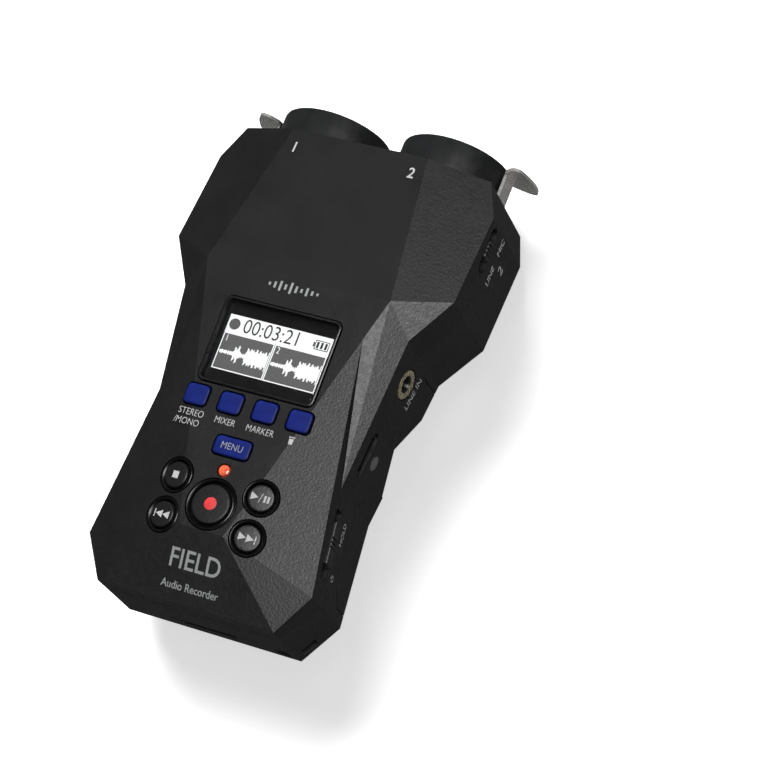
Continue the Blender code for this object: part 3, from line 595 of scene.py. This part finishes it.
def build_blue_keys(looks):
    for node in [f"function_button_{number}" for number in range(1, 5)] + ["menu_button"]:
        place = key_frame(node, press_joint(node))
        width, length = MENU_CAP if node == "menu_button" else FUNCTION_CAP
        cap = mesh_piece(f"{node}_cap", pillow_bmesh(width, length, 1.2, -3.9, 0.0, 0.5, 0.08),
                         place)
        finish_piece(cap, node, looks["blue"], [node])
    place = key_frame("menu_button", press_joint("menu_button"))
    word = lettering("menu_word", "MENU", 1.75, shift(place, z=0.09 + LIFT), 0.9, -0.02)
    finish_piece(word, "menu_button", looks["ink_soft"])


def press_joint(node):
    """The joint whose child is that key."""
    return next(name for name, joint in JOINTS.items() if joint["child"] == node)


def triangle(x, facing, size):
    return [(x, -size / 2), (x, size / 2), (x + facing * size, 0.0)]


def transport_icon(name):
    if name == "stop":
        return [bar(0.0, 0.0, 1.8, 1.8)]
    if name == "play":
        return [triangle(-2.6, 1, 2.0), [(-0.45, -1.2), (-0.25, -1.2), (0.35, 1.2), (0.15, 1.2)],
                bar(1.05, 0.0, 0.55, 1.7), bar(1.95, 0.0, 0.55, 1.7)]
    facing = 1 if name == "forward" else -1
    return [triangle(-2.3 * facing, facing, 2.0), triangle(-0.2 * facing, facing, 2.0),
            bar(2.1 * facing, 0.0, 0.28, 2.0)]


def build_round_key(name, ring_radius, cap_radius, looks):
    node = f"{name}_button"
    place = key_frame(node, press_joint(node))
    surface = shift(place, z=-CAP_PROUD)
    ring = mesh_piece(f"{name}_surround", turned_bmesh([
        (cap_radius + 0.3, -1.6), (cap_radius + 0.3, -0.85), (cap_radius + 0.55, -0.95),
        (ring_radius - 0.75, -0.55), (ring_radius - 0.35, -0.05), (ring_radius - 0.15, 0.0),
        (ring_radius, -0.12), (ring_radius, -1.6)]), surface, 40.0)
    finish_piece(ring, HOUSING, looks["ring"], [f"{name}_ring"])
    cap = mesh_piece(f"{name}_cap", turned_bmesh([
        (0.0, 0.0), (cap_radius - 0.55, 0.0), (cap_radius - 0.42, -0.02),
        (cap_radius - 0.2, -0.09), (cap_radius - 0.06, -0.22), (cap_radius, -0.42),
        (cap_radius, -3.0), (0.0, -3.0)], closed=False), place, 25.0)
    finish_piece(cap, node, looks["key"], [node])
    on_cap = shift(place, z=LIFT)
    if name == "record":
        # the red dot's ink carries a painted glow
        dot = mesh_piece("record_dot", turned_bmesh([
            (0.0, 0.10), (1.45, 0.10), (1.62, 0.04), (1.67, -0.03), (0.0, -0.03)], 48, False),
            on_cap)
        finish_piece(dot, node, looks["ink_red"])
    else:
        icon = mesh_piece(f"{name}_icon", flat_bmesh(transport_icon(name)), on_cap)
        finish_piece(icon, node, looks["ink"])


def build_transport(looks):
    build_round_key("record", *RECORD_SIZE, looks)
    for name in ("stop", "play", "rewind", "forward"):
        build_round_key(name, *TRANSPORT_SIZE, looks)
    lamp_place = top_frame("record_lamp", DISPLAY_NORMAL)
    lamp = mesh_piece("record_lamp_dome", turned_bmesh(
        [(0.0, 0.0)] + [(1.5 * sin(radians(angle)), 0.55 * cos(radians(angle)) - 0.55)
                        for angle in range(15, 91, 15)]
        + [(1.55, -1.9), (0.0, -1.9)], 48, False), lamp_place, 50.0)
    finish_piece(lamp, HOUSING, looks["lamp"], ["record_lamp"])


# ---------------------------------------------------------------- print on the panels

HEAD_FOLD = (17.2, 43.7)      # (y, z) where the head panel meets the display panel
HEAD_FALL = 0.0805            # how far the head panel drops for each millimetre
HEAD_NORMAL = (0.0, 0.0802, 0.9968)
LABEL_FOLD = (-50.9, 39.8)    # (y, z) where the label panel meets the display panel
LABEL_FALL = 7.5 / 17.6


def head_frame(x, y):
    """Frame on the sloping head panel."""
    fold_y, fold_z = HEAD_FOLD
    normal = Vector(HEAD_NORMAL)
    point = Vector((x * MM, y * MM, (fold_z - (y - fold_y) * HEAD_FALL) * MM))
    return frame_from(point + normal * LIFT * MM, normal, (1, 0, 0))


def label_frame(x, y):
    """Frame on the label panel at the bottom end."""
    fold_y, fold_z = LABEL_FOLD
    normal = Vector((0.0, -LABEL_FALL, 1.0)).normalized()
    point = Vector((x * MM, y * MM, (fold_z + (y - fold_y) * LABEL_FALL) * MM))
    return frame_from(point + normal * LIFT * MM, normal, (1, 0, 0))


def print_panels(looks):
    for name, words, x, y, height in (("label_stereo", "STEREO", -14.2, -23.0, 1.75),
                                      ("label_mono", "/MONO", -14.6, -25.5, 1.75),
                                      ("label_mixer", "MIXER", -4.6, -23.1, 1.75),
                                      ("label_marker", "MARKER", 5.3, -23.1, 1.75)):
        piece = lettering(name, words, height, on_display(x, y, LIFT), 0.82, -0.02)
        finish_piece(piece, HOUSING, looks["ink"])
    bin_icon = [[(-0.65, 0.35), (-0.5, -1.1), (0.5, -1.1), (0.65, 0.35)], bar(0.0, 0.75, 1.7, 0.25)]
    place = on_display(14.2, -23.3, LIFT)
    finish_piece(mesh_piece("label_bin", flat_bmesh(bin_icon), place), HOUSING, looks["ink"])
    for side, digit in ((-1, "1"), (1, "2")):
        piece = lettering(f"head_{digit}", digit, 3.0, head_frame(side * 16.7, 52.9), 0.9, 0.05)
        finish_piece(piece, HOUSING, looks["ink"])
    heights = (0.8, 1.6, 2.6, 1.4, 3.0, 1.8, 1.0, 2.2, 1.2, 0.7)
    mark = [bar((index - (len(heights) - 1) / 2) * 1.5, 0.0, 0.6, height)
            for index, height in enumerate(heights)]
    finish_piece(mesh_piece("wave_mark", flat_bmesh(mark), on_display(0.0, 14.3, LIFT)), HOUSING,
                 looks["ink_soft"])
    for name, words, y, height in (("label_field", "FIELD", -58.6, 4.9),
                                   ("label_recorder", "Audio Recorder", -64.6, 2.0)):
        piece = lettering(name, words, height, label_frame(0.4, y), 0.85, height * 0.012)
        finish_piece(piece, HOUSING, looks["ink_soft"])


def wall_frame(side, upper, lower, y, z):
    """Frame on an upright side wall through two plan corners, in millimetres."""
    (x1, y1), (x2, y2) = upper, lower
    x = x1 + (x2 - x1) * (y - y1) / (y2 - y1)
    normal = Vector((side * (y1 - y2), x2 - x1, 0.0)).normalized()
    point = Vector((side * x * MM, y * MM, z * MM)) + normal * LIFT * MM
    return frame_from(point, normal, (0, side, 0))


HEAD_WALL = ((39.4, 48.8), (39.4, 23.0))
WAIST_WALL = ((31.9, 10.4), (27.4, -30.1))
GRIP_WALL = ((22.6, 6.0), (31.5, -57.8))


def print_sides(looks):
    for side, digit in ((-1, "1"), (1, "2")):
        for name, words, y, z, height in (("mic", "MIC", 46.0, 22.6, 2.1),
                                          ("line", "LINE", 37.8, 22.6, 2.1),
                                          ("channel", digit, 42.0, 17.4, 3.4)):
            piece = lettering(f"side_{name}_{digit}", words, height,
                              wall_frame(side, *HEAD_WALL, y, z), 0.9)
            finish_piece(piece, HOUSING, looks["ink_soft"])
    hold = lettering("side_hold", "HOLD", 1.7, wall_frame(1, *GRIP_WALL, -38.2, 24.0), 0.9)
    finish_piece(hold, HOUSING, looks["ink_soft"])
    line_in = lettering("side_line_in", "LINE IN", 2.1, wall_frame(1, *WAIST_WALL, 2.8, 20.9), 0.9)
    finish_piece(line_in, HOUSING, looks["ink_soft"])
    power = [round_segment(0.85, 0.62, radians(125), radians(415)),
             bar(0.0, 0.75, 0.22, 0.95)]
    finish_piece(mesh_piece("side_power", flat_bmesh(power),
                            wall_frame(1, *GRIP_WALL, -49.6, 24.0)), HOUSING,
                 looks["ink_soft"])
    plug = [round_outline(0.0, 0.0, 1.9)]
    finish_piece(mesh_piece("side_plug", flat_bmesh(plug), wall_frame(1, *WAIST_WALL, -17.8, 22.4)),
                 HOUSING, looks["ink_dark"])


def round_segment(outer, inner, start, end, steps=28):
    """A broken ring as one outline."""
    angles = [start + (end - start) * step / steps for step in range(steps + 1)]
    return ([(outer * cos(a), outer * sin(a)) for a in angles]
            + [(inner * cos(a), inner * sin(a)) for a in reversed(angles)])


# ---------------------------------------------------------------- jacks, levers and ports

CONTACT_CIRCLE = 5.6
CONTACT_ANGLES = (-45.0, 90.0, 225.0)


def build_jacks(looks):
    for word in ("left", "right"):
        low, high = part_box(f"jack_collar_{word}")
        place = frame_from(((low.x + high.x) / 2, high.y, (low.z + high.z) / 2), (0, 1, 0),
                           (1, 0, 0))
        collar = mesh_piece(f"jack_ring_{word}", turned_bmesh([
            (12.2, -0.9), (12.35, -0.45), (12.7, -0.1), (13.1, 0.0), (14.1, 0.0),
            (14.55, -0.1), (14.85, -0.35), (15.0, -0.8), (15.0, -10.0), (14.0, -10.0),
            (14.0, -13.0), (12.2, -13.0)], 128), place, 35.0)
        finish_piece(collar, HOUSING, looks["collar"], [f"jack_collar_{word}"])
        dress_node(f"jack_core_{word}", looks["core"])
        for number, angle in enumerate(CONTACT_ANGLES, start=1):
            x = CONTACT_CIRCLE * cos(radians(angle))
            y = CONTACT_CIRCLE * sin(radians(angle))
            sleeve = mesh_piece(f"contact_{word}_{number}", turned_bmesh([
                (0.62, -4.9), (0.95, -4.9), (0.95, -11.5), (0.62, -11.5)], 20),
                shift(place, x, y))
            finish_piece(sleeve, HOUSING, looks["brass"])


def build_mini_jacks(looks):
    for side, node in ((1, "line_in_jack"), (-1, "phones_jack")):
        (x1, y1), (x2, y2) = WAIST_WALL
        normal = Vector((side * (y1 - y2), x2 - x1, 0.0)).normalized()
        place = top_frame(node, normal, (0, side, 0))
        ring = mesh_piece(f"{node}_ring", turned_bmesh([
            (2.3, -2.8), (2.3, -0.15), (2.4, -0.02), (2.55, 0.04), (3.5, 0.04), (3.8, -0.02),
            (3.95, -0.2), (3.95, -2.8)], 64), place, 35.0)
        finish_piece(ring, HOUSING, looks["brass"], [node])
        liner = mesh_piece(f"{node}_liner", turned_bmesh([
            (0.0, -8.6), (1.8, -8.6), (1.8, -0.6), (1.95, -0.35), (2.28, -0.3), (2.28, -9.0),
            (0.0, -9.0)], 48, False), place, 35.0)
        finish_piece(liner, HOUSING, looks["mask"])


def dress_levers(looks):
    for word in ("left", "right"):
        dress_node(f"release_tab_{word}", looks["nickel"], 25.0)


# ---------------------------------------------------------------- stage and light

def area_light(name, place, target, size, power):
    data = bpy.data.lights.new(name, "AREA")
    data.shape = "RECTANGLE"
    data.size, data.size_y = size
    data.energy = power
    light = bpy.data.objects.new(name, data)
    bpy.context.scene.collection.objects.link(light)
    light.location = place
    light.rotation_euler = (Vector(target) - Vector(place)).to_track_quat("-Z", "Y").to_euler()
    return light


def build_floor():
    bm = bmesh.new()
    bmesh.ops.create_grid(bm, x_segments=1, y_segments=1, size=3.0)
    mesh = bpy.data.meshes.new("floor")
    bm.to_mesh(mesh)
    bm.free()
    floor = bpy.data.objects.new("floor", mesh)
    bpy.context.scene.collection.objects.link(floor)
    made, tree, shader = new_material("floor_paper")
    fibres = noise(tree, 400.0, 3.0)
    tree.links.new(mix_colours(tree, fibres, (0.85, 0.85, 0.85), (0.87, 0.87, 0.87)),
                   shader.inputs["Base Color"])
    set_inputs(shader, Roughness=0.9, Emission_Color=(1.0, 1.0, 1.0, 1.0),
               Emission_Strength=0.64)
    mesh.materials.append(made)
    floor.visible_glossy = False


def build_lights():
    """A key that throws the soft shadow, and a softbox that only makes the sheen."""
    world = bpy.data.worlds.new("studio")
    world.use_nodes = True
    set_inputs(world.node_tree.nodes["Background"], Color=(1.0, 1.0, 1.0, 1.0), Strength=0.07)
    bpy.context.scene.world = world
    middle = (0.0, 0.0, 0.02)
    key = area_light("key", (-0.60, 0.72, 1.12), middle, (0.85, 0.85), 34.0)
    key.visible_glossy = False
    softbox = area_light("softbox", (0.42, -0.04, 0.9), middle, (0.56, 0.56), 13.0)
    softbox.visible_diffuse = False
    bpy.context.scene.view_settings.view_transform = "Standard"


# ---------------------------------------------------------------- assembly

make_camera()
build_floor()
build_lights()
LOOKS = make_looks()
dress_housing(LOOKS)
dress_small_nodes(LOOKS)
build_screen(LOOKS)
build_blue_keys(LOOKS)
build_transport(LOOKS)
print_panels(LOOKS)
print_sides(LOOKS)
build_jacks(LOOKS)
build_mini_jacks(LOOKS)
dress_levers(LOOKS)
